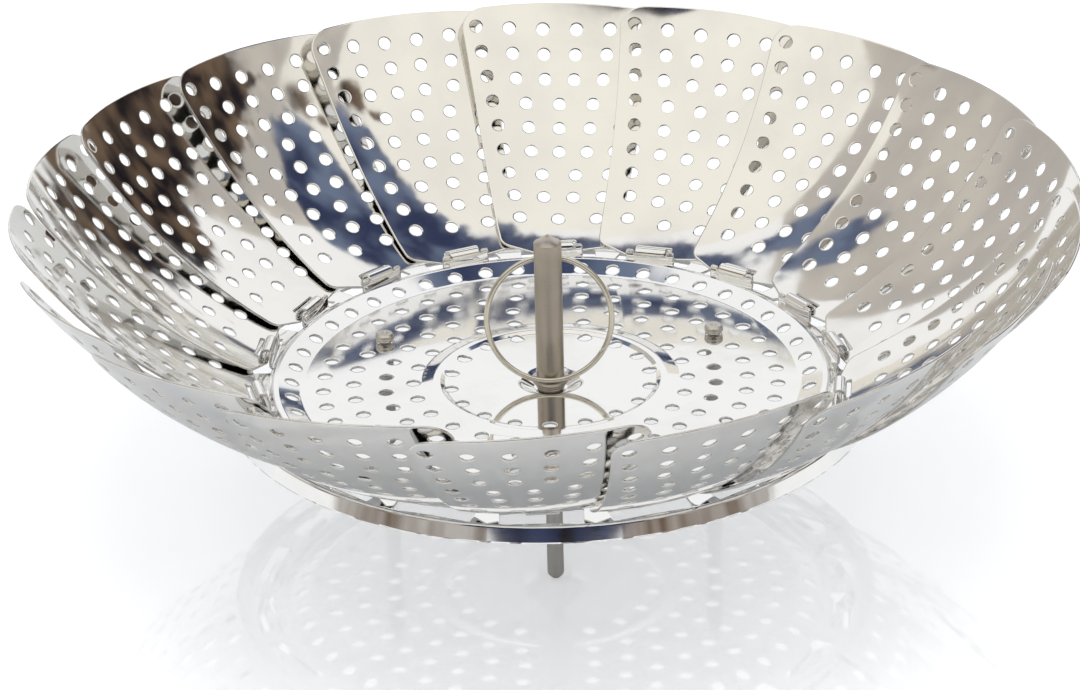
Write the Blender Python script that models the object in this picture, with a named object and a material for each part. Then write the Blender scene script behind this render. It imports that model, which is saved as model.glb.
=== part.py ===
"""Folding steamer basket of pressed stainless steel, standing open on its three legs.

A perforated pan carries eighteen perforated petals. The pan has a lug for each petal,
bent up from its edge and hooked down through a slot in the petal's foot, so the petal
folds up and inward over the pan. A post with a loose lifting ring stands in the middle.

Metres, +Z up. The origin is on the basket's axis, at the height of the leg ends.
A petal's own frame has +X outward, +Y counter-clockwise and its origin on its hinge.
"""
import math

import bmesh
import bpy
from mathutils import Matrix, Vector
from mathutils.geometry import delaunay_2d_cdt

for old in list(bpy.data.objects):
    bpy.data.objects.remove(old, do_unlink=True)

# The whole basket
crest_height = 0.0290         # leg ends to the top of the pan's crest
play = 0.0003                 # gap left between pieces that touch
petal_count = 18
first_petal_azimuth = math.radians(7.7)

# Petal: one pressed blank
petal_thickness = 0.0005
hinge_radius = 0.0672         # basket axis to the hinge, in the strip at the petal's foot
hinge_drop = 0.0001           # crest to the hinge
hinge_skew = math.radians(6.0)    # the hinge's direction in plan, so that petals lie like shingles
petal_length = 0.0703         # along the slope, from the hinge to the top edge
foot_slope = math.radians(23.0)
top_slope = math.radians(57.3)
cross_radius = 0.1000         # the blank's curve from edge to edge
foot_half_width = 0.0140
top_half_width = 0.0262
foot_reach = 0.0005           # hinge to the petal's bottom edge, at the lug
foot_lift = 0.0016            # how much higher the bottom edge lies at its ends
top_crown = 0.0030            # how far the top edge bows up in the middle
top_corner_radius = 0.0062
crown_place_shares = (0.66, 0.33, 0.0)    # of the top's half width, where its edge bends
foot_corner_radius = 0.0030

# Petal slot, above the strip that the lug holds
petal_slot_low = 0.0006       # hinge to the slot's lower edge
petal_slot_high = 0.0029      # hinge to the slot's upper edge
petal_slot_half_width = 0.00430
strip_half_width = 0.0058     # the part of the bottom edge that runs along the hinge

# Petal holes: straight rows from edge to edge, the widest row at the top
petal_hole_radius = 0.00165
row_counts = (5, 5, 4, 4, 4, 3, 3)
top_row_drop = 0.0070         # top edge to the first row
foot_row_rise = 0.0103        # hinge to the last row
top_row_inset = 0.0048           # of an end hole's middle, from the half width at the top
foot_row_inset = 0.0045          # the same at the foot

# Pan: one pressing, from the dimple under the post to the skirt
pan_thickness = 0.0006
dimple_floor_radius = 0.0036
dimple_rim_radius = 0.0075
dimple_depth = 0.0023         # below the pan's middle
bead_inner_radius = 0.0243    # raised bead round the middle: its inner foot
bead_step_reach = 0.0013      # inner foot to the bead's crown
bead_crown_width = 0.0012
bead_width = 0.0057           # inner foot to outer foot
bead_rise = 0.0007
floor_drop = 0.0020           # crest to the floor
floor_edge_reach = 0.0097     # where the flat floor ends, inward of the hinge
cove_top_reach = 0.0054
cove_top_drop = 0.0004
crest_inner_reach = 0.0043
crest_outer_reach = 0.0031
flank_foot_reach = 0.0023     # foot of the crest's outer side
flank_foot_drop = 0.0010
valley_reach = 0.0047         # valley inside the shoulder, outward of the hinge
valley_drop = 0.0016
shoulder_reach = 0.0060
shoulder_drop = 0.0005
shoulder_radius = 0.0017
skirt_drop = 0.0041           # crest to the skirt's lower edge

# Pan windows, and the lugs left standing in them
window_half_width = 0.0094
window_reach = 0.0036         # hinge to the window's outer edge
lug_half_width = 0.0060
hook_half_width = 0.00375     # the part of the lug that goes through the petal's slot
lug_bend_radius = 0.00025     # inner radius of the bend at the lug's root
hook_inner_radius = 0.00095   # the hook's arch over the petal's strip
arch_rise = 0.0010            # hinge to the centre of the arch
leg_of_hook = 0.0014          # straight end of the hook below the arch
lug_slit_turn = math.radians(12)    # where on the arch the slits beside the hook begin
lug_slit_width = 0.00035
lug_ear_rise = 0.0012         # the ears beside the hook stand up past the arch's centre
lug_flat_share = 0.60         # of the lug's length, drawn in the flat pattern's window
arch_steps = 6

# Pan holes: rings of round holes
pan_hole_radius = 0.00165
middle_ring_radius = 0.0232
ring_inner_margin = 0.0017    # bead to the first ring on the floor
ring_outer_margin = 0.0043    # last ring on the floor to the floor's edge
floor_ring_counts = (24, 30, 36)
floor_ring_phase_shares = (0.0, 0.55, 0.52)    # of each ring's own pitch
middle_ring_count = 18
middle_ring_phase_share = 0.45
cove_ring_count = 36
cove_ring_share = 0.50        # from the floor's edge to the top of the cove

# Post, with a shoulder for the ring and a stud through the pan
post_radius = 0.00320
post_rise = 0.0348            # crest to the post's tip
post_tip_height = 0.0020
collar_radius = 0.00435
collar_height = 0.00280
collar_foot_radius = 0.00300
collar_land = 0.0011
stud_radius = 0.0020
nut_sides = 6
nut_across_flats = 0.0070
nut_height = 0.0024

# Lifting ring of round wire
ring_outer_radius = 0.0150
ring_wire_radius = 0.00065

# Legs, riveted through the pan's floor
leg_azimuths = tuple(math.radians(a) for a in (30, 150, 270))
leg_circle_radius = 0.0448
leg_radius = 0.00185
leg_foot_radius = 0.0009      # flat at the leg's end
leg_foot_height = 0.0010
leg_neck_radius = 0.0013
leg_head_radius = 0.00220
leg_head_height = 0.0020
leg_head_foot_share = 0.84    # of the head's radius, where it sits on the pan
leg_head_land_share = 0.80    # of the head's radius, on its flat top
leg_head_swell_share = 0.40   # of the head's height, where it is widest
leg_head_step_share = 0.78    # of the head's height, where the top narrows
leg_hole_clear = 0.0012       # least sheet left round a leg's head

# How finely round things are divided
hole_sides = 4
inner_ring_sides = 30
outer_ring_sides = petal_count * 3
turned_sides = 14
leg_sides = 10
wire_points = 28
wire_sides = 6
corner_steps = 3
crease_angle = math.radians(35)   # sharper edges aren't shaded smooth
point_closeness = 1e-7        # points of a flat pattern nearer than this are one

# Sizes that follow from those above
petal_pitch = math.tau / petal_count
hinge_height = crest_height - hinge_drop
floor_height = crest_height - floor_drop
dimple_height = floor_height - dimple_depth
ring_circle_radius = ring_outer_radius - ring_wire_radius


def material(name, colour, roughness, metallic=1.0):
    """A plain Principled material."""
    made = bpy.data.materials.new(name)
    made.use_nodes = True
    shader = made.node_tree.nodes["Principled BSDF"]
    shader.inputs["Base Color"].default_value = (*colour, 1.0)
    shader.inputs["Roughness"].default_value = roughness
    shader.inputs["Metallic"].default_value = metallic
    return made


def add_object(name, bm, finish, frame=Matrix.Identity(4)):
    """An object from a bmesh, shaded smooth up to the crease angle."""
    bmesh.ops.recalc_face_normals(bm, faces=bm.faces[:])
    mesh = bpy.data.meshes.new(name)
    bm.to_mesh(mesh)
    bm.free()
    mesh.shade_smooth()
    mesh.set_sharp_from_angle(angle=crease_angle)
    mesh.materials.append(finish)
    made = bpy.data.objects.new(name, mesh)
    made.matrix_world = frame
    bpy.context.scene.collection.objects.link(made)
    return made


def regular_polygon(centre, radius, sides):
    """A polygon with the area of the circle that it stands for."""
    reach = radius * math.sqrt(math.tau / (sides * math.sin(math.tau / sides)))
    turn = math.atan2(centre[1], centre[0]) + math.pi / sides
    return [(centre[0] + reach * math.cos(turn + math.tau * k / sides),
             centre[1] + reach * math.sin(turn + math.tau * k / sides)) for k in range(sides)]


def pressed_sheet(outline, holes, rings, points, to_face):
    """A sheet cut flat and pressed to shape, as a closed bmesh.

    The flat pattern is triangulated between its outline and holes. Rings and points
    are places where the pressing bends. to_face(point, side) gives the place on the
    upper face (side +1) or the lower one (side -1).
    """
    flat, edges = [], []

    def add_loop(loop):
        start = len(flat)
        flat.extend(Vector(p) for p in loop)
        edges.extend((start + k, start + (k + 1) % len(loop)) for k in range(len(loop)))

    for loop in (outline, *holes, *rings):
        add_loop(loop)
    flat.extend(Vector(p) for p in points)
    spots, _, triangles, *_ = delaunay_2d_cdt(flat, edges, [], 0, point_closeness)
    inside_outline = loop_test(outline)
    inside_holes = [loop_test(hole) for hole in holes]

    bm = bmesh.new()
    upper = [bm.verts.new(to_face(p, 1)) for p in spots]
    lower = [bm.verts.new(to_face(p, -1)) for p in spots]
    walls = {}
    for triangle in triangles:
        middle = sum((spots[k] for k in triangle), Vector((0, 0))) / 3
        if not inside_outline(middle) or any(test(middle) for test in inside_holes):
            continue
        bm.faces.new([upper[k] for k in triangle])
        bm.faces.new([lower[k] for k in reversed(triangle)])
        for a, b in zip(triangle, (*triangle[1:], triangle[0])):
            if (b, a) in walls:
                del walls[b, a]
            else:
                walls[a, b] = True
    for a, b in walls:
        bm.faces.new((upper[b], upper[a], lower[a], lower[b]))
    bmesh.ops.delete(bm, geom=[v for v in bm.verts if not v.link_faces], context="VERTS")
    bmesh.ops.triangulate(bm, faces=[f for f in bm.faces if len(f.verts) > 3])
    return bm


def loop_test(loop):
    """A test of whether a flat point lies inside a loop, quick for points far away."""
    xs, ys = [p[0] for p in loop], [p[1] for p in loop]
    low_x, high_x, low_y, high_y = min(xs), max(xs), min(ys), max(ys)
    sides = list(zip(loop, (*loop[1:], loop[0])))

    def inside(point):
        x, y = point[0], point[1]
        if not (low_x < x < high_x and low_y < y < high_y):
            return False
        crossings = 0
        for (x0, y0), (x1, y1) in sides:
            if (y0 > y) != (y1 > y) and x < x0 + (x1 - x0) * (y - y0) / (y1 - y0):
                crossings += 1
        return crossings % 2 == 1

    return inside


def rounded_outline(corners, steps):
    """A closed outline with each corner (x, y, radius) rounded off."""
    outline = []
    for k, (x, y, radius) in enumerate(corners):
        here = Vector((x, y))
        if radius == 0:
            outline.append(tuple(here))
            continue
        before = (Vector(corners[k - 1][:2]) - here).normalized()
        after = (Vector(corners[(k + 1) % len(corners)][:2]) - here).normalized()
        half = before.angle(after) / 2
        centre = here + (before + after).normalized() * (radius / math.sin(half))
        start = here + before * (radius / math.tan(half)) - centre
        end = here + after * (radius / math.tan(half)) - centre
        turn = start.angle_signed(end)
        for step in range(steps + 1):
            arm = start.copy()
            arm.rotate(Matrix.Rotation(-turn * step / steps, 2))
            outline.append(tuple(centre + arm))
    return outline


# Petal. Blank coordinates: x along the petal from its hinge, y across it.

slope_rate = (top_slope - foot_slope) / petal_length


def petal_path(run):
    """Place and slope on the petal's middle line, straight below the hinge."""
    if run <= 0:
        along = Vector((math.cos(foot_slope), 0, math.sin(foot_slope)))
        return along * run, foot_slope
    slope = foot_slope + slope_rate * run
    bend = 1 / slope_rate
    return bend * Vector((math.sin(slope) - math.sin(foot_slope), 0,
                          math.cos(foot_slope) - math.cos(slope))), slope


def petal_width(run):
    """Half the petal's width at a distance from its hinge."""
    share = (run + foot_reach) / (petal_length + foot_reach)
    return foot_half_width + (top_half_width - foot_half_width) * share


def row_runs():
    """Distances of the rows of holes from the hinge, top row first."""
    first = petal_length - top_row_drop
    step = (first - foot_row_rise) / (len(row_counts) - 1)
    return [first - step * row for row in range(len(row_counts))]


def petal_face(point, side):
    """A blank's point on one face of the pressed petal, in the petal's hinge frame."""
    run, across = point[0], point[1]
    lean = math.tan(hinge_skew)
    place, slope = petal_path(run + across * lean * math.cos(petal_path(run)[1]))
    place.y = -place.x * lean
    bend = across / cross_radius
    normal = Vector((-math.sin(slope), 0, math.cos(slope)))
    sideways = Vector((0, 1, 0))
    centre = place + normal * cross_radius
    arm = sideways * math.sin(bend) - normal * math.cos(bend)
    return centre + arm * (cross_radius - side * petal_thickness / 2)


def petal_blank():
    """The blank's outline."""
    strip = [along_hinge(-foot_reach, strip_half_width),
             along_hinge(-foot_reach, -strip_half_width)]
    corners = [(foot_lift - foot_reach, foot_half_width, foot_corner_radius)]
    corners += [(run, petal_width(run), 0) for run in row_runs()[:0:-1]]
    corners += [(petal_length - top_crown, top_half_width, top_corner_radius)]
    corners += [(petal_length - top_crown * share ** 2, top_half_width * share, 0)
                for share in crown_place_shares]
    mirrored = [(x, -y, radius) for x, y, radius in reversed(corners[:-1])]
    ends = [(run, across, 0) for run, across in strip]
    return rounded_outline((ends[:1] + corners + mirrored + ends[1:])[::-1], corner_steps)


def along_hinge(run, across):
    """A blank's point at a distance from the hinge, which lies skewed in the blank."""
    return run - across * math.tan(hinge_skew) * math.cos(foot_slope), across


def petal_holes():
    """The slot for the lug, and the rows of holes."""
    sides = (-petal_slot_half_width, petal_slot_half_width)
    holes = [[along_hinge(petal_slot_low, sides[0]), along_hinge(petal_slot_high, sides[0]),
              along_hinge(petal_slot_high, sides[1]), along_hinge(petal_slot_low, sides[1])]]
    runs = row_runs()
    top_reach_of_row = top_half_width - top_row_inset
    foot_reach_of_row = foot_half_width - foot_row_inset
    for run, count in zip(runs, row_counts):
        share = (run - runs[-1]) / (runs[0] - runs[-1])
        reach = foot_reach_of_row + (top_reach_of_row - foot_reach_of_row) * share
        for k in range(count):
            across = -reach + 2 * reach * k / (count - 1)
            holes.append(regular_polygon((run, across), petal_hole_radius, hole_sides))
    return holes


# Pan. Its profile runs outward along the upper face.


def pan_profile():
    """Radius and height below the crest, from the middle to the skirt's edge."""
    shoulder = hinge_radius + shoulder_reach
    arc = [(shoulder + shoulder_radius * math.sin(a),
            -shoulder_drop - shoulder_radius * (1 - math.cos(a)))
           for a in (math.pi / 4, math.pi / 2)]
    bead_crown = bead_inner_radius + bead_step_reach
    return [(0.0, -floor_drop - dimple_depth),
            (dimple_floor_radius, -floor_drop - dimple_depth),
            (dimple_rim_radius, -floor_drop),
            (bead_inner_radius, -floor_drop),
            (bead_crown, -floor_drop + bead_rise),
            (bead_crown + bead_crown_width, -floor_drop + bead_rise),
            (bead_inner_radius + bead_width, -floor_drop),
            (hinge_radius - floor_edge_reach, -floor_drop),
            (hinge_radius - cove_top_reach, -cove_top_drop),
            (hinge_radius - crest_inner_reach, 0.0),
            (hinge_radius - crest_outer_reach, 0.0),
            (hinge_radius - flank_foot_reach, -flank_foot_drop),
            (hinge_radius + valley_reach, -valley_drop),
            (shoulder, -shoulder_drop), *arc,
            (shoulder + shoulder_radius, -skirt_drop)]


profile = pan_profile()
profile_runs = [0.0]
for (r0, z0), (r1, z1) in zip(profile, profile[1:]):
    profile_runs.append(profile_runs[-1] + math.hypot(r1 - r0, z1 - z0))


def profile_normal(k):
    """Upward normal at a corner of the profile, long enough to keep the thickness."""
    normals = []
    for a, b in ((k - 1, k), (k, k + 1)):
        if a >= 0 and b < len(profile):
            run = profile_runs[b] - profile_runs[a]
            normals.append(Vector((-(profile[b][1] - profile[a][1]) / run,
                                   (profile[b][0] - profile[a][0]) / run)))
    mean = sum(normals, Vector((0, 0))).normalized()
    return mean / mean.dot(normals[0])


profile_normals = [profile_normal(k) for k in range(len(profile))]

# A lug's root, outward and up from its hinge, on the pan's upper face
lug_root = -(hook_inner_radius + pan_thickness + lug_bend_radius)
lug_root_height = hinge_drop - flank_foot_drop + (valley_drop - flank_foot_drop) \
    * (lug_root + flank_foot_reach) / -(valley_reach + flank_foot_reach)


def flat_radius(radius):
    """Distance along the profile at a radius, short of the skirt."""
    for k in range(1, len(profile)):
        if radius <= profile[k][0]:
            share = (radius - profile[k - 1][0]) / (profile[k][0] - profile[k - 1][0])
            return profile_runs[k - 1] + share * (profile_runs[k] - profile_runs[k - 1])
    return profile_runs[-1]


def lug_path(length, ear):
    """Place and upper normal on a lug's middle line, in its petal's hinge frame."""
    out = Vector((1, 0, 0))
    rise = Vector((0, 0, 1))
    bend = lug_bend_radius + pan_thickness / 2
    arch = hook_inner_radius + pan_thickness / 2
    bend_length = bend * math.pi / 2
    foot = lug_root_height + lug_bend_radius
    upright = arch_rise - foot
    if length < bend_length:
        turn = length / bend
        normal = rise * math.cos(turn) - out * math.sin(turn)
        return out * lug_root + rise * foot - normal * bend, normal
    if ear or length < bend_length + upright:
        return rise * (foot + length - bend_length) - out * arch, -out
    turn = min((length - bend_length - upright) / arch, math.pi)
    rest = length - bend_length - upright - arch * turn
    normal = rise * math.sin(turn) - out * math.cos(turn)
    return rise * (arch_rise - rest) + normal * arch, normal


def lug_lengths():
    """Distances along a lug where its form changes: the wide part's and the hook's."""
    bend = (lug_bend_radius + pan_thickness / 2) * math.pi / 2
    upright = arch_rise - lug_root_height - lug_bend_radius
    arch = hook_inner_radius + pan_thickness / 2
    wide = [bend / 2, bend, bend + upright, bend + upright + lug_ear_rise]
    turns = [lug_slit_turn + (math.pi - lug_slit_turn) * k / arch_steps
             for k in range(arch_steps + 1)]
    hook = [bend + upright + arch * turn for turn in turns]
    return wide, [*hook, hook[-1] + leg_of_hook]


def hinge_frame_point(point):
    """A flat point in the nearest petal's hinge frame, seen from above."""
    azimuth = math.atan2(point[1], point[0]) - first_petal_azimuth
    turn = first_petal_azimuth + round(azimuth / petal_pitch) * petal_pitch
    local = Matrix.Rotation(-turn, 2) @ Vector(point[:2])
    local.x -= flat_radius(hinge_radius)
    return Matrix.Rotation(-hinge_skew, 2) @ local, turn


def pan_face(point, side):
    """A flat point on one face of the pressed pan, or of a lug."""
    local, turn = hinge_frame_point(point)
    length = (local.x - lug_root) / lug_flat_share
    if (length > point_closeness and length < lug_lengths()[1][-1] + play
            and abs(local.y) < lug_half_width + point_closeness):
        ear = abs(local.y) > hook_half_width + lug_slit_width / 2
        place, normal = lug_path(length, ear)
        place += normal * (side * pan_thickness / 2)
        place.y = local.y
        return hinge_frame(turn) @ place
    run = math.hypot(point[0], point[1])
    azimuth = math.atan2(point[1], point[0])
    k = 1
    while k < len(profile) - 1 and run > profile_runs[k]:
        k += 1
    share = (run - profile_runs[k - 1]) / (profile_runs[k] - profile_runs[k - 1])
    upper = Vector(profile[k - 1]).lerp(Vector(profile[k]), share)
    normal = profile_normals[k - 1].lerp(profile_normals[k], share)
    radius, height = upper - (normal * pan_thickness if side < 0 else Vector((0, 0)))
    return Vector((radius * math.cos(azimuth), radius * math.sin(azimuth),
                   crest_height + height))


def ring_points(radius, count, phase=0.0):
    """Points evenly round a circle of the flat pattern."""
    return [(radius * math.cos(phase + math.tau * k / count),
             radius * math.sin(phase + math.tau * k / count)) for k in range(count)]


def hinge_frame(azimuth):
    """A petal's frame: its origin on its hinge, and its Y axis along the hinge."""
    return Matrix.Rotation(azimuth, 4, "Z") \
        @ Matrix.Translation((hinge_radius, 0, hinge_height)) \
        @ Matrix.Rotation(hinge_skew, 4, "Z")


def at_petals(points):
    """Flat points at one petal, repeated at all of them."""
    loops = []
    for k in range(petal_count):
        turn = Matrix.Rotation(first_petal_azimuth + k * petal_pitch, 2)
        loops.append([tuple(turn @ Vector(p)) for p in points])
    return loops


def window_with_lug():
    """A window's outline in the flat pattern, going round the lug on its inner edge."""
    bar = flat_radius(hinge_radius)
    wide, hook = lug_lengths()
    side = [(0.0, lug_half_width)] + [(run, lug_half_width) for run in wide]
    side += [(wide[-1], hook_half_width + lug_slit_width),
             (hook[0], hook_half_width + lug_slit_width)]
    side += [(run, hook_half_width) for run in hook]
    lug = [(lug_root + run * lug_flat_share, across) for run, across in side]
    inner = [(lug_root, window_half_width), *lug]
    inner += [(run, -across) for run, across in reversed(inner)]
    skew = Matrix.Rotation(hinge_skew, 2)
    inner = [tuple(skew @ Vector(p) + Vector((bar, 0))) for p in inner]
    outer = flat_radius(hinge_radius + window_reach)
    return [(outer, -window_half_width), (outer, window_half_width), *inner]


def pan_holes():
    """Round holes in rings, with none where a leg is riveted, and holes for legs and post."""
    rings = [(middle_ring_radius, middle_ring_count, middle_ring_phase_share)]
    first = bead_inner_radius + bead_width + ring_inner_margin
    last = hinge_radius - floor_edge_reach - ring_outer_margin
    for k, (count, share) in enumerate(zip(floor_ring_counts, floor_ring_phase_shares)):
        radius = first + (last - first) * k / (len(floor_ring_counts) - 1)
        rings.append((radius, count, share))
    cove = hinge_radius - floor_edge_reach \
        + (floor_edge_reach - cove_top_reach) * cove_ring_share
    rings.append((cove, cove_ring_count, 0.0))

    legs = [Vector((math.cos(a), math.sin(a))) * flat_radius(leg_circle_radius)
            for a in leg_azimuths]
    least = leg_head_radius + leg_hole_clear + pan_hole_radius
    holes = []
    for radius, count, share in rings:
        for x, y in ring_points(flat_radius(radius), count, math.tau / count * share):
            if all((Vector((x, y)) - leg).length > least for leg in legs):
                holes.append(regular_polygon((x, y), pan_hole_radius, hole_sides))
    for leg in legs:
        holes.append(regular_polygon(leg, leg_neck_radius + 2 * play, leg_sides))
    holes.append(regular_polygon((0, 0), stud_radius + 2 * play, turned_sides))
    return holes


def make_pan(finish):
    """The pan, with its windows, lugs and rings of holes."""
    phase = first_petal_azimuth + petal_pitch / 2
    rings = [ring_points(run, inner_ring_sides) for run in profile_runs[1:7]]
    rings += [ring_points(run, outer_ring_sides, phase) for run in profile_runs[7:-1]]
    outline = ring_points(profile_runs[-1], outer_ring_sides, phase)
    holes = pan_holes() + at_petals(window_with_lug())
    return add_object("base_pan", pressed_sheet(outline, holes, rings, [], pan_face), finish)


def make_petals(finish):
    """The petals, each with its origin on its hinge and its Y axis along the hinge."""
    bm = pressed_sheet(petal_blank(), petal_holes(), [], [], petal_face)
    bmesh.ops.recalc_face_normals(bm, faces=bm.faces[:])
    for k in range(petal_count):
        frame = hinge_frame(first_petal_azimuth + k * petal_pitch)
        add_object(f"petal_{k + 1:02d}", bm.copy(), finish, frame)
    bm.free()


def turned(profile_points, sides):
    """A solid turned round Z from (radius, height) points, on the axis at both ends."""
    bm = bmesh.new()
    loops = []
    for radius, height in profile_points:
        if radius == 0:
            loops.append([bm.verts.new((0, 0, height))])
        else:
            loops.append([bm.verts.new((radius * math.cos(math.tau * k / sides),
                                        radius * math.sin(math.tau * k / sides), height))
                          for k in range(sides)])
    for low, high in zip(loops, loops[1:]):
        for k in range(sides):
            n = (k + 1) % sides
            if len(low) == 1:
                bm.faces.new((low[0], high[n], high[k]))
            elif len(high) == 1:
                bm.faces.new((low[k], low[n], high[0]))
            else:
                bm.faces.new((low[k], low[n], high[n], high[k]))
    return bm


def make_post(finish):
    """The post, with its collar and the stud that goes down through the pan and nut."""
    seat = dimple_height + play
    under = dimple_height - pan_thickness - play
    tip = crest_height + post_rise
    points = [(0, under - nut_height - play), (stud_radius, under - nut_height - play),
              (stud_radius, seat), (collar_foot_radius, seat),
              (collar_radius, seat + collar_height - collar_land),
              (collar_radius, seat + collar_height), (post_radius, seat + collar_height),
              (post_radius, tip - post_tip_height), (0, tip)]
    return add_object("center_post", turned(points, turned_sides), finish)


def make_nut(finish):
    """The nut that holds the post, below the pan."""
    bm = bmesh.new()
    corner = nut_across_flats / (2 * math.cos(math.pi / nut_sides))
    top = dimple_height - pan_thickness - play
    rows = []
    for radius, count in ((corner, nut_sides), (stud_radius + play, 2 * nut_sides)):
        rows.append([[bm.verts.new((radius * math.cos(math.tau * k / count),
                                    radius * math.sin(math.tau * k / count), height))
                      for k in range(count)] for height in (top - nut_height, top)])
    for low, high in rows:
        for k in range(len(low)):
            n = (k + 1) % len(low)
            bm.faces.new((low[k], low[n], high[n], high[k]))
    for level in (0, 1):
        outer, inner = rows[0][level], rows[1][level]
        for k in range(nut_sides):
            n = (k + 1) % nut_sides
            a, b, c = inner[2 * k], inner[2 * k + 1], inner[2 * n]
            bm.faces.new((outer[k], b, a))
            bm.faces.new((outer[k], outer[n], b))
            bm.faces.new((outer[n], c, b))
    return add_object("post_nut", bm, finish)


def ring_place():
    """Where the ring's lowest wire lies, in front of the post on its collar, and its lean."""
    back = post_radius + ring_wire_radius + play
    pivot = Vector((0, -back, dimple_height + collar_height + ring_wire_radius + 2 * play))
    lean = math.asin(back / ring_circle_radius)
    return pivot, lean


def make_ring(finish):
    """The ring round the post, with its origin on the wire that it tips about."""
    pivot, lean = ring_place()
    bm = bmesh.new()
    loops = []
    for k in range(wire_points):
        turn = math.tau * k / wire_points
        arm = Vector((math.sin(turn), 0, -math.cos(turn)))
        centre = Vector((0, 0, ring_circle_radius)) + arm * ring_circle_radius
        loops.append([bm.verts.new(centre + ring_wire_radius * (arm * math.cos(a)
                                                                + Vector((0, math.sin(a), 0))))
                      for a in (math.tau * j / wire_sides for j in range(wire_sides))])
    for loop, following in zip(loops, (*loops[1:], loops[0])):
        for j in range(wire_sides):
            n = (j + 1) % wire_sides
            bm.faces.new((loop[j], following[j], following[n], loop[n]))
    frame = Matrix.Translation(pivot) @ Matrix.Rotation(-lean, 4, "X")
    return add_object("lifting_ring", bm, finish, frame)


def make_legs(finish):
    """The legs, each one piece with its riveted head."""
    under = floor_height - pan_thickness - play
    seat = floor_height + play
    swell = seat + leg_head_height * leg_head_swell_share
    step = seat + leg_head_height * leg_head_step_share
    points = [(0, 0), (leg_foot_radius, 0), (leg_radius, leg_foot_height),
              (leg_radius, under), (leg_neck_radius, under), (leg_neck_radius, seat),
              (leg_head_radius * leg_head_foot_share, seat), (leg_head_radius, swell),
              (leg_head_radius, step),
              (leg_head_radius * leg_head_land_share, seat + leg_head_height),
              (0, seat + leg_head_height)]
    for k, azimuth in enumerate(leg_azimuths):
        frame = Matrix.Rotation(azimuth, 4, "Z") \
            @ Matrix.Translation((leg_circle_radius, 0, 0))
        add_object(f"leg_{k + 1}", turned(points, leg_sides), finish, frame)


polished = material("polished_steel", (0.78, 0.77, 0.75), 0.08)
turned_steel = material("turned_steel", (0.45, 0.41, 0.37), 0.32)
wire_steel = material("wire_steel", (0.62, 0.59, 0.52), 0.25)

make_pan(polished)
make_petals(polished)
make_post(turned_steel)
make_nut(turned_steel)
make_ring(wire_steel)
make_legs(turned_steel)
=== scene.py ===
# %% [markdown]
# # A folding steamer basket in polished steel
#
# Eighteen thin petals lie round a perforated pan like shingles, each hung on a hooked
# lug of the pan. A turned post carries a loose ring, and the whole basket stands on
# three riveted legs. The CAD model is loaded first as a fixed frame. It has the right
# sizes and joints but coarse holes, so the petals, the pan and the turned pieces are
# made again here with round holes, soft edges and real steel finishes, in exactly the
# same places.

# %% Load the frame
import math

import bmesh
import bpy
import numpy as np
from mathutils import Matrix, Vector
from mathutils.geometry import delaunay_2d_cdt


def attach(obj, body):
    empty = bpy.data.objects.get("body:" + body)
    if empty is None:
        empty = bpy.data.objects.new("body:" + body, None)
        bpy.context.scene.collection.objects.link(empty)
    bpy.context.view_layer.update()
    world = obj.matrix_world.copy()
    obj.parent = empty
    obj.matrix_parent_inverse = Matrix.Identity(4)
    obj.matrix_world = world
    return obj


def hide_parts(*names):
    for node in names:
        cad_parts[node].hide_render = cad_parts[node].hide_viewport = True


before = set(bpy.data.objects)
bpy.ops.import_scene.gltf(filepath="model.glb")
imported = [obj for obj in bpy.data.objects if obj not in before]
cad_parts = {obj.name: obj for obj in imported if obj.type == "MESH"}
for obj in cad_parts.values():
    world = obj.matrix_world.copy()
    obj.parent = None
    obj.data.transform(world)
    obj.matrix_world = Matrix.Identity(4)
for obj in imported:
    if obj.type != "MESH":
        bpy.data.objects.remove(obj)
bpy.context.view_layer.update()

# %% [markdown]
# ## The camera
#
# The photograph was taken with a long lens from about a metre away, looking down at
# almost 26 degrees. The lens, distance and tilt were found by fitting circles of the
# pan and the tips of the post and leg to their places in the picture. The picture is
# turned a little, so the camera rolls by a degree and a half.

# %% Camera
def add_object(name, data):
    """Links new object data into the scene."""
    made = bpy.data.objects.new(name, data)
    bpy.context.scene.collection.objects.link(made)
    return made


crest_height = 0.0290
camera_data = bpy.data.cameras.new("camera")
camera_data.sensor_width = 36.0
camera_data.lens = 133.9
camera = add_object("camera", camera_data)
bpy.context.scene.camera = camera

elevation, roll, distance = math.radians(25.85), math.radians(1.45), 0.924
target = Vector((-0.00225, 0.0, crest_height + 0.0069))
backward = Vector((0.0, -math.cos(elevation), math.sin(elevation)))
camera.matrix_world = (Matrix.Translation(target + backward * distance)
                       @ Matrix.Rotation(math.pi / 2 - elevation, 4, "X")
                       @ Matrix.Rotation(-roll, 4, "Z"))
print("camera at", tuple(round(v, 3) for v in camera.matrix_world.translation))

# %% [markdown]
# ## Nodes in a few words
#
# Materials here are built from nodes in code. Small helpers keep that readable: they add
# a node and fill its sockets, add a sum, and start a node group with named inputs and
# outputs, or an empty material. A value can be a number, a colour, or another node's
# output to link from.

# %% Node helpers
def add_node(tree, kind, settings=None, **inputs):
    """Adds a node, sets its properties and fills or links its inputs by name."""
    node = tree.nodes.new(kind)
    for name, value in (settings or {}).items():
        setattr(node, name, value)
    for name, value in inputs.items():
        socket = node.inputs[int(name[1:])] if name[0] == "i" and name[1:].isdigit() \
            else node.inputs[name.replace("_", " ")]
        if isinstance(value, bpy.types.NodeSocket):
            tree.links.new(value, socket)
        else:
            socket.default_value = value
    return node


def calc(tree, operation, *values):
    """The output of a math node, from numbers or other nodes' outputs."""
    inputs = {f"i{k}": value for k, value in enumerate(values)}
    return add_node(tree, "ShaderNodeMath", {"operation": operation}, **inputs).outputs[0]


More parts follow.
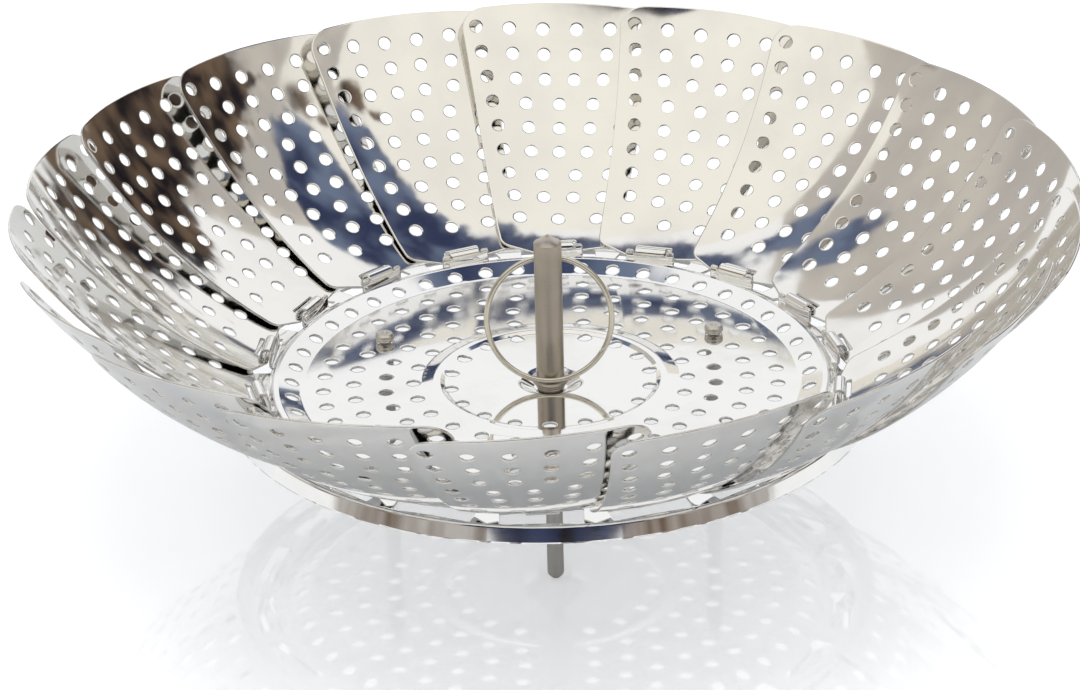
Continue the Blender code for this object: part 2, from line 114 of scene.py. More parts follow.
def start_group(name, inputs, outputs):
    """A new node group with (name, kind, default) inputs and (name, kind) outputs."""
    tree = bpy.data.node_groups.new(name, "ShaderNodeTree")
    for socket_name, kind, default in inputs:
        socket = tree.interface.new_socket(socket_name, in_out="INPUT", socket_type=kind)
        if default is not None:
            socket.default_value = default
    for socket_name, kind in outputs:
        tree.interface.new_socket(socket_name, in_out="OUTPUT", socket_type=kind)
    return tree, tree.nodes.new("NodeGroupInput"), tree.nodes.new("NodeGroupOutput")


def start_material(name):
    """An empty node material and its output node."""
    made = bpy.data.materials.new(name)
    made.use_nodes = True
    made.node_tree.nodes.clear()
    return made, made.node_tree.nodes.new("ShaderNodeOutputMaterial")

# %% [markdown]
# ## The studio
#
# Polished steel has no colour of its own to speak of: it shows the room. The room in
# the photograph is a white table under one wide soft light, with dark blue gaps round
# the light's edge and greyer walls to the sides. So the look of the metal is settled
# here first. The table is white and slightly glossy, and it is brightened for the
# camera only, which keeps the page white while the basket's shadow and mirror image
# stay on it. The world is white for the camera, glossy and transmitted rays.

# %% World
world = bpy.data.worlds.new("studio")
bpy.context.scene.world = world
world.use_nodes = True
world.node_tree.nodes.clear()
world_out = world.node_tree.nodes.new("ShaderNodeOutputWorld")
rays = world.node_tree.nodes.new("ShaderNodeLightPath")
seen = calc(world.node_tree, "MAXIMUM", rays.outputs["Is Camera Ray"],
            rays.outputs["Is Glossy Ray"])
seen = calc(world.node_tree, "MAXIMUM", seen, rays.outputs["Is Transmission Ray"])
soft_sky = add_node(world.node_tree, "ShaderNodeBackground",
                    Color=(0.93, 0.96, 1.0, 1.0), Strength=0.75)
white_page = add_node(world.node_tree, "ShaderNodeBackground",
                      Color=(1.0, 1.0, 1.0, 1.0), Strength=1.0)
choice = add_node(world.node_tree, "ShaderNodeMixShader", i0=seen,
                  i1=soft_sky.outputs[0], i2=white_page.outputs[0])
world.node_tree.links.new(choice.outputs[0], world_out.inputs["Surface"])
bpy.context.scene.view_settings.view_transform = "Standard"
print("world", world.name)

# %% Table
table_half = 6.0           # half the table's width
table_drop = 0.0003        # the table lies this far below the legs' ends
table_white, table_out = start_material("white_table")
tree = table_white.node_tree
rays = tree.nodes.new("ShaderNodeLightPath")
matt = add_node(tree, "ShaderNodeBsdfDiffuse", Color=(0.86, 0.87, 0.88, 1.0))
shine = add_node(tree, "ShaderNodeBsdfGlossy", Color=(1.0, 1.0, 1.0, 1.0), Roughness=0.04)
edge_on = add_node(tree, "ShaderNodeFresnel", IOR=2.15)
surface = add_node(tree, "ShaderNodeMixShader", i0=edge_on.outputs[0],
                   i1=matt.outputs[0], i2=shine.outputs[0])
lift = add_node(tree, "ShaderNodeEmission", Color=(1.0, 1.0, 1.0, 1.0), Strength=0.36)
lifted = add_node(tree, "ShaderNodeAddShader", i0=surface.outputs[0], i1=lift.outputs[0])
choice = add_node(tree, "ShaderNodeMixShader", i0=rays.outputs["Is Camera Ray"],
                  i1=surface.outputs[0], i2=lifted.outputs[0])
tree.links.new(choice.outputs[0], table_out.inputs["Surface"])

table_mesh = bpy.data.meshes.new("table")
table_mesh.from_pydata([(-table_half, -table_half, 0), (table_half, -table_half, 0),
                        (table_half, table_half, 0), (-table_half, table_half, 0)], [],
                       [(0, 1, 2, 3)])
table_mesh.materials.append(table_white)
table = add_object("table", table_mesh)
table.location.z = -table_drop
print("table", 2 * table_half, "m across")

# %% [markdown]
# The soft light is an area lamp overhead. What the steel mirrors is set by cards, as a
# photographer does it: one bright panel above, dark blue flags along its far edge, black
# and brown ones on the right, grey walls at the sides, and the dark around the camera.
# Noise wears most of them away towards their borders, which gives their mirror images
# the ragged edges that a wavy sheet shows. The panel and the left wall are left whole.
# The cards show only in reflections, so they cast no shadow and hide nothing.

# %% Lamp
lamp_data = bpy.data.lights.new("soft_light", "AREA")
lamp_data.shape = "SQUARE"
lamp_data.size = 1.2
lamp_data.energy = 11.0
lamp_data.color = (1.0, 0.98, 0.95)
lamp = add_object("soft_light", lamp_data)
lamp.location = (0.0, -0.3, 1.9)
lamp.rotation_euler = (math.radians(-9), 0.0, 0.0)
lamp.visible_glossy = False
lamp.visible_camera = False
print("lamp", round(lamp_data.size, 2), "m wide")

# %% Card helpers
border_hold = 0.45                          # how much less a card wears in its middle
clear_below, full_above = 0.95, 1.07        # of the worn noise, less the card's cover


def sky_point(azimuth, tilt, reach):
    """A point seen from the basket at a compass angle and an angle from straight up."""
    a, t = math.radians(azimuth), math.radians(tilt)
    return Vector((reach * math.sin(t) * math.cos(a), reach * math.sin(t) * math.sin(a),
                   reach * math.cos(t)))


def card_paint(name, colour, tint, cover, grain):
    """A card's glow: two tones in soft patches, and worn away where cover is under 1."""
    made, out = start_material(name)
    tree = made.node_tree
    place = tree.nodes.new("ShaderNodeTexCoord").outputs["Object"]
    border = add_node(tree, "ShaderNodeAttribute", {"attribute_name": "middle"})
    tones = add_node(tree, "ShaderNodeTexNoise", Vector=place, Scale=grain * 0.7, Detail=3.0)
    tone = add_node(tree, "ShaderNodeMapRange", i0=tones.outputs["Fac"], i1=0.42, i2=0.62,
                    i3=0.0, i4=1.0)
    mixed = add_node(tree, "ShaderNodeMix", {"data_type": "RGBA"}, i0=tone.outputs[0],
                     i6=(*colour, 1.0), i7=(*tint, 1.0))
    wear = add_node(tree, "ShaderNodeTexNoise", Vector=place, Scale=grain, Detail=4.0,
                    Roughness=0.6)
    worn = calc(tree, "MULTIPLY_ADD", border.outputs["Fac"], border_hold,
                wear.outputs["Fac"])
    shown = add_node(tree, "ShaderNodeMapRange", i0=worn, i1=clear_below - cover,
                     i2=full_above - cover, i3=0.0, i4=1.0)
    glow = add_node(tree, "ShaderNodeEmission", Color=mixed.outputs[2], Strength=1.0)
    clear = tree.nodes.new("ShaderNodeBsdfTransparent")
    mix = add_node(tree, "ShaderNodeMixShader", i0=shown.outputs[0], i1=clear.outputs[0],
                   i2=glow.outputs[0])
    tree.links.new(mix.outputs[0], out.inputs["Surface"])
    return made


def add_card(name, colour, tint, reach, cover, grain, rows):
    """A curved card from rows of (azimuth, inner tilt, outer tilt) in degrees.

    Reach is its distance, cover how much of it noise leaves (1 is all), and grain the
    scale of that noise.
    """
    steps = 5
    points, middle = [], []
    for k, (azimuth, inner, outer) in enumerate(rows):
        for step in range(steps):
            share = step / (steps - 1)
            points.append(sky_point(azimuth, inner + (outer - inner) * share, reach))
            middle.append(0.0 if k in (0, len(rows) - 1) or step in (0, steps - 1) else 1.0)
    faces = [(k * steps + n, k * steps + n + 1, (k + 1) * steps + n + 1, (k + 1) * steps + n)
             for k in range(len(rows) - 1) for n in range(steps - 1)]
    mesh = bpy.data.meshes.new(name)
    mesh.from_pydata(points, [], faces)
    mesh.attributes.new("middle", "FLOAT", "POINT").data.foreach_set("value", middle)
    mesh.materials.append(card_paint(name, colour, tint, cover, grain))
    card = add_object(name, mesh)
    card.visible_camera = False
    card.visible_diffuse = False
    card.visible_shadow = False
    card.visible_transmission = False
    return card

# %% Cards
cream, pale = (1.0, 0.965, 0.885), (0.93, 0.90, 0.83)
navy, slate = (0.035, 0.045, 0.10), (0.16, 0.20, 0.30)
wall_grey, wall_warm = (0.50, 0.47, 0.44), (0.62, 0.58, 0.52)
night, umber = (0.012, 0.010, 0.014), (0.16, 0.11, 0.075)
cards = [
    add_card("overhead_panel", cream, pale, 1.60, 1.0, 2.5,
             [(-180, 0, 46), (-150, 0, 54), (-120, 0, 58), (-90, 0, 52), (-60, 0, 58),
              (-30, 0, 54), (0, 0, 46), (40, 0, 28), (90, 0, 16), (140, 0, 28),
              (180, 0, 46)]),
    add_card("far_flag", navy, slate, 1.50, 0.42, 6.0,
             [(4, 36, 45), (14, 30, 46), (30, 24, 44), (48, 20, 42), (64, 19, 36),
              (90, 18, 32), (112, 21, 34), (124, 25, 35)]),
    add_card("far_right_flag", slate, navy, 1.48, 0.30, 8.0,
             [(120, 25, 37), (130, 27, 42), (140, 30, 45), (150, 33, 45)]),
    add_card("left_wall", wall_grey, wall_warm, 2.20, 1.0, 1.5,
             [(118, 42, 82), (130, 34, 82), (155, 28, 82), (180, 30, 82), (205, 36, 82),
              (222, 44, 82)]),
    add_card("right_wall", wall_warm, wall_grey, 2.20, 0.60, 3.5,
             [(-40, 44, 82), (-20, 34, 82), (0, 30, 82), (22, 34, 82), (44, 40, 82)]),
    add_card("right_flag", night, umber, 2.00, 0.36, 7.0,
             [(0, 50, 76), (12, 48, 80), (26, 50, 82), (40, 54, 84), (54, 57, 86), (67, 62, 86)]),
    add_card("right_slit", umber, night, 1.48, 0.30, 6.0,
             [(-8, 32, 46), (-2, 30, 48), (4, 32, 46)]),
    add_card("camera_dark", navy, night, 1.45, 0.75, 5.0,
             [(-122, 46, 72), (-114, 41, 73), (-102, 39, 74), (-90, 40, 74), (-76, 43, 74),
              (-66, 48, 73), (-58, 54, 72)]),
    add_card("camera_left_wall", wall_grey, umber, 2.10, 0.74, 4.0,
             [(-178, 56, 80), (-160, 54, 82), (-140, 54, 82), (-122, 54, 82), (-112, 58, 80)]),
    add_card("camera_right_wall", wall_grey, umber, 2.10, 0.74, 4.0,
             [(-68, 58, 80), (-58, 54, 82), (-40, 54, 82), (-20, 54, 82), (-2, 56, 80)]),
]
print("cards:", len(cards))

# %% [markdown]
# ## A flat blank, pressed to shape
#
# Petals and pan are sheet metal: a flat blank is cut and punched, and then a press gives
# it its form. The script does the same. The blank is a flat outline with holes, cut into
# triangles by Blender's Delaunay function. A function then says where each flat point
# ends up in space. This keeps every hole round and every edge clean, which cutting
# holes into a finished curved mesh with booleans would not.
#
# Polished metal shows the smallest fault in its normals, so they are set exactly from
# the pressed form, and not averaged from triangles. Each cut edge is slightly rolled
# over, which is what draws the fine bright line round every hole.

# %% Lines, arcs and loops
def rounded(corners, steps=8, closed=True):
    """Points of a line of (x, y, radius) corners, with an arc at each corner."""
    points = []
    for k, (x, y, radius) in enumerate(corners):
        here = Vector((x, y))
        if radius == 0 or (not closed and k in (0, len(corners) - 1)):
            points.append(tuple(here))
            continue
        before = (Vector(corners[k - 1][:2]) - here).normalized()
        after = (Vector(corners[(k + 1) % len(corners)][:2]) - here).normalized()
        half = before.angle(after) / 2
        centre = here + (before + after).normalized() * (radius / math.sin(half))
        start = here + before * (radius / math.tan(half)) - centre
        end = here + after * (radius / math.tan(half)) - centre
        turn = start.angle_signed(end)
        for step in range(steps + 1):
            arm = start.copy()
            arm.rotate(Matrix.Rotation(-turn * step / steps, 2))
            points.append(tuple(centre + arm))
    return points


def circle(x, y, radius, sides=18):
    """A round hole in the flat blank."""
    turn = math.tau / sides
    return [(x + radius * math.cos(turn * k), y + radius * math.sin(turn * k))
            for k in range(sides)]


def outward(loop):
    """Unit directions out of a counter-clockwise loop, at each of its points."""
    loop = np.asarray(loop)
    along = np.roll(loop, -1, axis=0) - np.roll(loop, 1, axis=0)
    out = np.stack([along[:, 1], -along[:, 0]], axis=1)
    return out / np.linalg.norm(out, axis=1, keepdims=True)


def inside(points, loop):
    """Which of the points lie inside a closed loop."""
    loop = np.asarray(loop)
    found = np.zeros(len(points), bool)
    near = np.all((points > loop.min(axis=0)) & (points < loop.max(axis=0)), axis=1)
    x, y = points[near, 0], points[near, 1]
    hit = np.zeros(len(x), bool)
    for (x0, y0), (x1, y1) in zip(loop, np.roll(loop, -1, axis=0)):
        if y0 != y1:
            crossing = (y0 > y) != (y1 > y)
            hit ^= crossing & (x < x0 + (x1 - x0) * (y - y0) / (y1 - y0))
    found[near] = hit
    return found


def unit(vectors):
    """Vectors scaled to length one."""
    return vectors / np.maximum(np.linalg.norm(vectors, axis=1, keepdims=True), 1e-12)

# %% The press
edge_roll = 0.00007        # how far a cut edge bulges
edge_band = 0.00032        # width of the rolled-over band beside a cut edge
edge_lean = 0.42           # how far the normals lean out at the edge


def press(name, outline, holes, spots, lines, place, thickness, finishes):
    """A sheet cut flat and pressed to shape.

    Spots are extra flat points, and lines are pairs of their numbers, where the form
    bends. place(flat) gives the sheet's middle surface and its unit normals.
    """
    flat, edges = [], []
    for loop in (outline, *holes):
        sign = 1 if loop is outline else -1
        for band in (0.0, edge_band):
            start = len(flat)
            flat.extend(np.asarray(loop) - sign * band * outward(loop))
            edges.extend((start + k, start + (k + 1) % len(loop)) for k in range(len(loop)))
    start = len(flat)
    flat.extend(np.asarray(spots))
    edges.extend((start + a, start + b) for a, b in lines)

    spread, _, cut, *_ = delaunay_2d_cdt([Vector(p) for p in flat], edges, [], 0, 1e-7)
    spread = np.array([tuple(p) for p in spread])
    cut = np.array(cut)
    middles = spread[cut].mean(axis=1)
    kept = inside(middles, outline)
    for hole in holes:
        kept &= ~inside(middles, hole)
    cut = cut[kept]

    # A triangle's side that no other triangle shares is on a cut edge
    sides = np.concatenate([cut[:, [0, 1]], cut[:, [1, 2]], cut[:, [2, 0]]])
    shared = set(map(tuple, sides))
    rim = np.array([s for s in sides if (s[1], s[0]) not in shared])
    along = spread[rim[:, 1]] - spread[rim[:, 0]]
    out = np.zeros_like(spread)
    for end in (0, 1):
        np.add.at(out, rim[:, end], unit(np.stack([along[:, 1], -along[:, 0]], axis=1)))
    out = unit(out)
    on_rim = np.zeros(len(spread), bool)
    on_rim[rim.ravel()] = True

    centre, normal = place(spread)
    bulge = place(spread + out * edge_roll)[0]
    outer = unit(bulge - centre) * on_rim[:, None]
    count = len(spread)
    points = np.concatenate([centre + normal * thickness / 2,
                             centre - normal * thickness / 2, bulge])
    upper_wall = np.stack([rim[:, 1], rim[:, 0], rim[:, 0] + 2 * count,
                           rim[:, 1] + 2 * count], axis=1)
    lower_wall = np.stack([rim[:, 1] + 2 * count, rim[:, 0] + 2 * count,
                           rim[:, 0] + count, rim[:, 1] + count], axis=1)
    faces = [*cut.tolist(), *(cut[:, ::-1] + count).tolist(), *upper_wall.tolist(),
             *lower_wall.tolist()]

    top = unit(normal + edge_lean * outer)
    under = unit(-normal + edge_lean * outer)
    top_wall, under_wall = unit(normal + outer), unit(-normal + outer)
    corner_normals = np.concatenate([
        top[cut].reshape(-1, 3), under[cut[:, ::-1]].reshape(-1, 3),
        np.stack([top_wall[rim[:, 1]], top_wall[rim[:, 0]], outer[rim[:, 0]],
                  outer[rim[:, 1]]], axis=1).reshape(-1, 3),
        np.stack([outer[rim[:, 1]], outer[rim[:, 0]], under_wall[rim[:, 0]],
                  under_wall[rim[:, 1]]], axis=1).reshape(-1, 3)])

    mesh = bpy.data.meshes.new(name)
    mesh.from_pydata(points.tolist(), [], faces)
    for finish in finishes:
        mesh.materials.append(finish)
    slots = np.zeros(len(faces), np.int32)
    slots[2 * len(cut):] = len(finishes) - 1
    mesh.polygons.foreach_set("material_index", slots)
    mesh.polygons.foreach_set("use_smooth", np.ones(len(faces), bool))
    mesh.normals_split_custom_set(corner_normals.tolist())
    print(name, "has", sum(len(f) - 2 for f in faces), "triangles and", len(holes), "openings")
    return mesh

# %% [markdown]
# ## What makes steel look like steel
#
# Three effects do the work, and each is one node group that several finishes share.
# Rolled sheet is never quite flat, so its mirror images wander: slow waves a few
# centimetres long and up to a fifth of a millimetre deep. Polishing leaves fine lines,
# and hands and steam leave soft marks, which both change the gloss. Turned pieces carry
# the fine rings of the lathe instead.

# %% Node group: sheet waves
sheet_waves, waves_in, waves_out = start_group(
    "sheet_waves",
    [("Place", "NodeSocketVector", None), ("Seed", "NodeSocketFloat", 0.0),
     ("Wave Size", "NodeSocketFloat", 0.035), ("Wave Depth", "NodeSocketFloat", 0.0001)],
    [("Height", "NodeSocketFloat")])
per_metre = calc(sheet_waves, "DIVIDE", 1.0, waves_in.outputs["Wave Size"])
slow = add_node(sheet_waves, "ShaderNodeTexNoise", {"noise_dimensions": "4D"},
                Vector=waves_in.outputs["Place"], W=waves_in.outputs["Seed"],
                Scale=per_metre, Detail=3.0, Roughness=0.50)
centred = calc(sheet_waves, "SUBTRACT", slow.outputs["Fac"], 0.5)
height = calc(sheet_waves, "MULTIPLY", centred, waves_in.outputs["Wave Depth"])
sheet_waves.links.new(height, waves_out.inputs["Height"])
print("group", sheet_waves.name)

# %% Node group: polish and handling marks
polish_marks, marks_in, marks_out = start_group(
    "polish_marks",
    [("Place", "NodeSocketVector", None), ("Seed", "NodeSocketFloat", 0.0),
     ("Gloss", "NodeSocketFloat", 0.08), ("Lines", "NodeSocketFloat", 0.03),
     ("Smears", "NodeSocketFloat", 0.06)],
    [("Roughness", "NodeSocketFloat"), ("Smear", "NodeSocketFloat")])
stretched = add_node(polish_marks, "ShaderNodeVectorMath", {"operation": "MULTIPLY"},
                     i0=marks_in.outputs["Place"], i1=(90.0, 2600.0, 600.0))
line_noise = add_node(polish_marks, "ShaderNodeTexNoise", {"noise_dimensions": "4D"},
                      Vector=stretched.outputs[0], W=marks_in.outputs["Seed"],
                      Scale=1.0, Detail=2.0)
smear_noise = add_node(polish_marks, "ShaderNodeTexNoise", {"noise_dimensions": "4D"},
                       Vector=marks_in.outputs["Place"], W=marks_in.outputs["Seed"],
                       Scale=42.0, Detail=5.0, Roughness=0.62, Distortion=0.6)
smear = add_node(polish_marks, "ShaderNodeMapRange", i0=smear_noise.outputs["Fac"],
                 i1=0.48, i2=0.72, i3=0.0, i4=1.0)
lines = calc(polish_marks, "MULTIPLY_ADD", line_noise.outputs["Fac"],
             marks_in.outputs["Lines"], marks_in.outputs["Gloss"])
rough = calc(polish_marks, "MULTIPLY_ADD", smear.outputs[0], marks_in.outputs["Smears"],
             lines)
polish_marks.links.new(rough, marks_out.inputs["Roughness"])
polish_marks.links.new(smear.outputs[0], marks_out.inputs["Smear"])
print("group", polish_marks.name)

# %% Node group: lathe rings
lathe_rings, rings_in, rings_out = start_group(
    "lathe_rings",
    [("Place", "NodeSocketVector", None), ("Pitch", "NodeSocketFloat", 0.0004),
     ("Depth", "NodeSocketFloat", 0.000004)],
    [("Height", "NodeSocketFloat"), ("Tone", "NodeSocketFloat")])
per_pitch = calc(lathe_rings, "DIVIDE", 1.0, rings_in.outputs["Pitch"])
flattened = add_node(lathe_rings, "ShaderNodeVectorMath", {"operation": "MULTIPLY"},
                     i0=rings_in.outputs["Place"], i1=(0.02, 0.02, 1.0))
cuts = add_node(lathe_rings, "ShaderNodeTexNoise", Vector=flattened.outputs[0],
                Scale=per_pitch, Detail=3.0, Roughness=0.6)
depth = calc(lathe_rings, "MULTIPLY", cuts.outputs["Fac"], rings_in.outputs["Depth"])
lathe_rings.links.new(depth, rings_out.inputs["Height"])
lathe_rings.links.new(cuts.outputs["Fac"], rings_out.inputs["Tone"])
print("group", lathe_rings.name)

# %% [markdown]
# ## The finishes
#
# Each finish is one metallic Principled shader. Its colour, gloss and bumps come from
# the groups above, and what is the same all over, such as Metallic, stays on the
# shader's own socket. The petals share one mesh, so each one's own random number seeds
# its waves and marks: eighteen identical mirrors would look printed.

# %% Sheet steel
def metal_surface(tree, out, colour, marks, height):
    """Ends a finish: its metallic shader, with the marks' gloss and the height's bumps."""
    bump = add_node(tree, "ShaderNodeBump", Height=height, Strength=1.0, Distance=1.0)
    shader = add_node(tree, "ShaderNodeBsdfPrincipled", Base_Color=colour.outputs[2],
                      Metallic=1.0, Roughness=marks.outputs["Roughness"],
                      Normal=bump.outputs[0])
    tree.links.new(shader.outputs[0], out.inputs["Surface"])


def sheet_steel(name, clean, handled, gloss, lines, smears, wave_size, wave_depth):
    """Polished sheet: wandering mirror images, fine lines and soft handling marks."""
    made, out = start_material(name)
    tree = made.node_tree
    place = tree.nodes.new("ShaderNodeTexCoord").outputs["Object"]
    chance = tree.nodes.new("ShaderNodeObjectInfo").outputs["Random"]
    seed = calc(tree, "MULTIPLY", chance, 40.0)
    waves = add_node(tree, "ShaderNodeGroup", {"node_tree": sheet_waves}, Place=place,
                     Seed=seed, Wave_Size=wave_size, Wave_Depth=wave_depth)
    marks = add_node(tree, "ShaderNodeGroup", {"node_tree": polish_marks}, Place=place,
                     Seed=seed, Gloss=gloss, Lines=lines, Smears=smears)
    colour = add_node(tree, "ShaderNodeMix", {"data_type": "RGBA"},
                      i0=marks.outputs["Smear"], i6=(*clean, 1.0), i7=(*handled, 1.0))
    metal_surface(tree, out, colour, marks, waves.outputs["Height"])
    return made


petal_steel = sheet_steel("petal_steel", (0.86, 0.85, 0.825), (0.80, 0.785, 0.755),
                          0.05, 0.025, 0.07, 0.030, 0.00019)
pan_steel = sheet_steel("pan_steel", (0.88, 0.88, 0.875), (0.82, 0.815, 0.80),
                        0.04, 0.03, 0.06, 0.040, 0.00006)
sheared_edge = sheet_steel("sheared_edge", (0.82, 0.81, 0.79), (0.60, 0.58, 0.55),
                           0.16, 0.10, 0.10, 0.010, 0.00001)
print("sheet finishes made")

# %% Turned and drawn steel
def turned_finish(name, bright, dull, gloss, smears, pitch, depth):
    """Satin steel from the lathe or the drawing die, with fine rings."""
    made, out = start_material(name)
    tree = made.node_tree
    place = tree.nodes.new("ShaderNodeTexCoord").outputs["Object"]
    rings = add_node(tree, "ShaderNodeGroup", {"node_tree": lathe_rings}, Place=place,
                     Pitch=pitch, Depth=depth)
    marks = add_node(tree, "ShaderNodeGroup", {"node_tree": polish_marks}, Place=place,
                     Gloss=gloss, Lines=0.04, Smears=smears)
    tone = calc(tree, "MULTIPLY_ADD", rings.outputs["Tone"], 0.6, marks.outputs["Smear"])
    colour = add_node(tree, "ShaderNodeMix", {"data_type": "RGBA"},
                      i0=tone, i6=(*bright, 1.0), i7=(*dull, 1.0))
    metal_surface(tree, out, colour, marks, rings.outputs["Height"])
    return made


post_steel = turned_finish("post_steel", (0.56, 0.51, 0.45), (0.47, 0.43, 0.38),
                           0.30, 0.08, 0.00040, 0.000004)
wire_steel = turned_finish("wire_steel", (0.78, 0.75, 0.66), (0.68, 0.65, 0.57),
                           0.20, 0.08, 0.00090, 0.000001)
rivet_steel = turned_finish("rivet_steel", (0.66, 0.63, 0.59), (0.56, 0.53, 0.49),
                            0.26, 0.10, 0.00035, 0.000003)
print("turned finishes made")

# %% [markdown]
# ## The petals
#
# A petal is one pressed blank. Going up from the hinge its slope steepens from 23 to
# 57 degrees, and from edge to edge it is curved on a 100 mm radius. It carries nine
# rows of round holes, six across at the top and three at the foot. A slot at the foot
# leaves a narrow strip, and the hinge runs through that strip. The hinge is skewed by
# 6 degrees in plan, which lays each petal's one edge inside its neighbour.
#
# The sizes are those of the CAD model, and the blank is pressed by the same rule.

# %% Sizes of a petal
petal_count = 18
first_petal = math.radians(7.7)
pitch = math.tau / petal_count
hinge_radius = 0.0672
hinge_height = crest_height - 0.0001
hinge_skew = math.radians(6.0)
petal_thickness = 0.0005
petal_length = 0.0703
foot_slope, top_slope = math.radians(23.0), math.radians(57.3)
cross_radius = 0.1000
foot_half, top_half = 0.0140, 0.0262
foot_reach, foot_lift, top_crown = 0.0005, 0.0016, 0.0030
foot_corner, top_corner, strip_corner, slot_corner = 0.0030, 0.0062, 0.0004, 0.0003
strip_half, slot_half = 0.0058, 0.0043
slot_low, slot_high = 0.0006, 0.0029
first_row, row_step = 0.0633, 0.006625      # from the hinge, and from row to row
foot_row_reach, row_spread = 0.0095, 0.0119  # half a row's width, and its growth upward
slope_rate = (top_slope - foot_slope) / petal_length

# %% Where a petal's blank goes
def petal_middle(run):
    """X, Z and slope of the petal's middle line at distances from its hinge."""
    slope = foot_slope + slope_rate * np.maximum(run, 0)
    below = np.minimum(run, 0)
    x = (np.sin(slope) - math.sin(foot_slope)) / slope_rate + below * math.cos(foot_slope)
    z = (math.cos(foot_slope) - np.cos(slope)) / slope_rate + below * math.sin(foot_slope)
    return x, z, slope


def petal_place(flat):
    """The pressed petal's middle surface and normals, in its hinge's frame."""
    run, across = flat[:, 0], flat[:, 1]
    lean = math.tan(hinge_skew)
    x, z, slope = petal_middle(run + across * lean * np.cos(petal_middle(run)[2]))
    bend = across / cross_radius
    up = np.stack([-np.sin(slope), np.zeros_like(x), np.cos(slope)], axis=1)
    normal = up * np.cos(bend)[:, None] - np.array([0.0, 1.0, 0.0]) * np.sin(bend)[:, None]
    centre = np.stack([x, -x * lean, z], axis=1) + (up - normal) * cross_radius
    return centre, normal

# %% The blank of a petal
def petal_half(run):
    """Half the petal's width at a distance from its hinge."""
    return foot_half + (top_half - foot_half) * (run + foot_reach) / (petal_length + foot_reach)


def along_hinge(run, across):
    """A blank's point at a distance from the hinge, which lies skewed in the blank."""
    return run - across * math.tan(hinge_skew) * math.cos(foot_slope), across


hole_radius = 0.00165
row_counts = (6, 6, 6, 5, 5, 5, 4, 4, 3)
row_runs = [first_row - row_step * row for row in range(len(row_counts))]
petal_holes = []
for run, count in zip(row_runs, row_counts):
    reach = foot_row_reach + row_spread * (run - row_runs[-1]) / (row_runs[0] - row_runs[-1])
    petal_holes += [circle(run, -reach + 2 * reach * k / (count - 1), hole_radius)
                    for k in range(count)]
slot = [(slot_low, -slot_half), (slot_high, -slot_half), (slot_high, slot_half),
        (slot_low, slot_half)]
petal_holes.append(rounded([(*along_hinge(*corner), slot_corner) for corner in slot], 3))

one_side = [(foot_lift - foot_reach, foot_half, foot_corner)]
one_side += [(run, petal_half(run), 0) for run in np.linspace(0.007, 0.060, 18)]
one_side += [(petal_length - top_crown, top_half, top_corner)]
one_side += [(petal_length - top_crown * share ** 2, top_half * share, 0)
             for share in (0.72, 0.6, 0.48, 0.36, 0.24, 0.12)]
other_side = [(x, -y, radius) for x, y, radius in reversed(one_side)]
strip_ends = [(*along_hinge(-foot_reach, side * strip_half), strip_corner) for side in (1, -1)]
petal_outline = rounded([strip_ends[0], *one_side, (petal_length, 0.0, 0), *other_side,
                         strip_ends[1]][::-1])
print("a petal has", len(petal_holes), "openings")

# %% Points between the holes
def scattered(outline, holes, spacing, clear):
    """Evenly spread points inside an outline, clear of its edge and of the holes."""
    loop = np.asarray(outline)
    low, high = loop.min(axis=0), loop.max(axis=0)
    rows = np.arange(low[1], high[1], spacing * math.sqrt(0.75))
    points = np.array([(x + (spacing / 2 if k % 2 else 0.0), y)
                       for k, y in enumerate(rows)
                       for x in np.arange(low[0], high[0], spacing)])
    points = points[inside(points, loop - clear * outward(loop))]
    for hole in holes:
        ring = np.asarray(hole)
        points = points[~inside(points, ring + clear * outward(ring))]
    return points


petal_spots = scattered(petal_outline, petal_holes, spacing=0.0024, clear=0.0008)
petal_mesh = press("petal", petal_outline, petal_holes, petal_spots, [], petal_place,
                   petal_thickness, [petal_steel, sheared_edge])

# %% Hang the petals
for k in range(petal_count):
    petal = add_object(f"petal_sheet_{k + 1:02d}", petal_mesh)
    petal.matrix_world = (Matrix.Rotation(first_petal + k * pitch, 4, "Z")
                          @ Matrix.Translation((hinge_radius, 0, hinge_height))
                          @ Matrix.Rotation(hinge_skew, 4, "Z"))
    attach(petal, f"petal_{k + 1:02d}")
    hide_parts(f"petal_{k + 1:02d}")
print(petal_count, "petals hung")

# %% [markdown]
# ## Profiles with true curves
#
# The pan is one pressing, round except for its windows, and the post and legs are
# turned on a lathe. All of them follow from a profile: a line of corners, each rounded
# by its own radius. The helper walks along that line and gives the exact slope at every
# point, and not only the place, so the mirror images run cleanly through each curve.

# %% Profile helper
def profile_curve(corners, steps=6):
    """Distance, radius, height and slope along (radius, height, rounding) corners."""
    places = np.array([c[:2] for c in corners], float)
    legs = np.diff(places, axis=0)
    lengths, slopes = np.hypot(*legs.T), np.unwrap(np.arctan2(legs[:, 1], legs[:, 0]))
    rows = [(0.0, *places[0], slopes[0])]
    done, cut_before = 0.0, 0.0
    for k in range(1, len(corners) - 1):
        turn = slopes[k] - slopes[k - 1]
        radius = corners[k][2]
        cut = radius * math.tan(abs(turn) / 2)
        done += lengths[k - 1] - cut_before - cut
        start = places[k] - legs[k - 1] / lengths[k - 1] * cut
        bend = math.copysign(radius, turn)
        for angle in np.linspace(slopes[k - 1], slopes[k], steps + 1):
            x = start[0] + bend * (math.sin(angle) - math.sin(slopes[k - 1]))
            y = start[1] - bend * (math.cos(angle) - math.cos(slopes[k - 1]))
            rows.append((done + abs(angle - slopes[k - 1]) * radius, x, y, angle))
        done += abs(turn) * radius
        cut_before = cut
    rows.append((done + lengths[-1] - cut_before, *places[-1], slopes[-1]))
    return np.array(rows).T

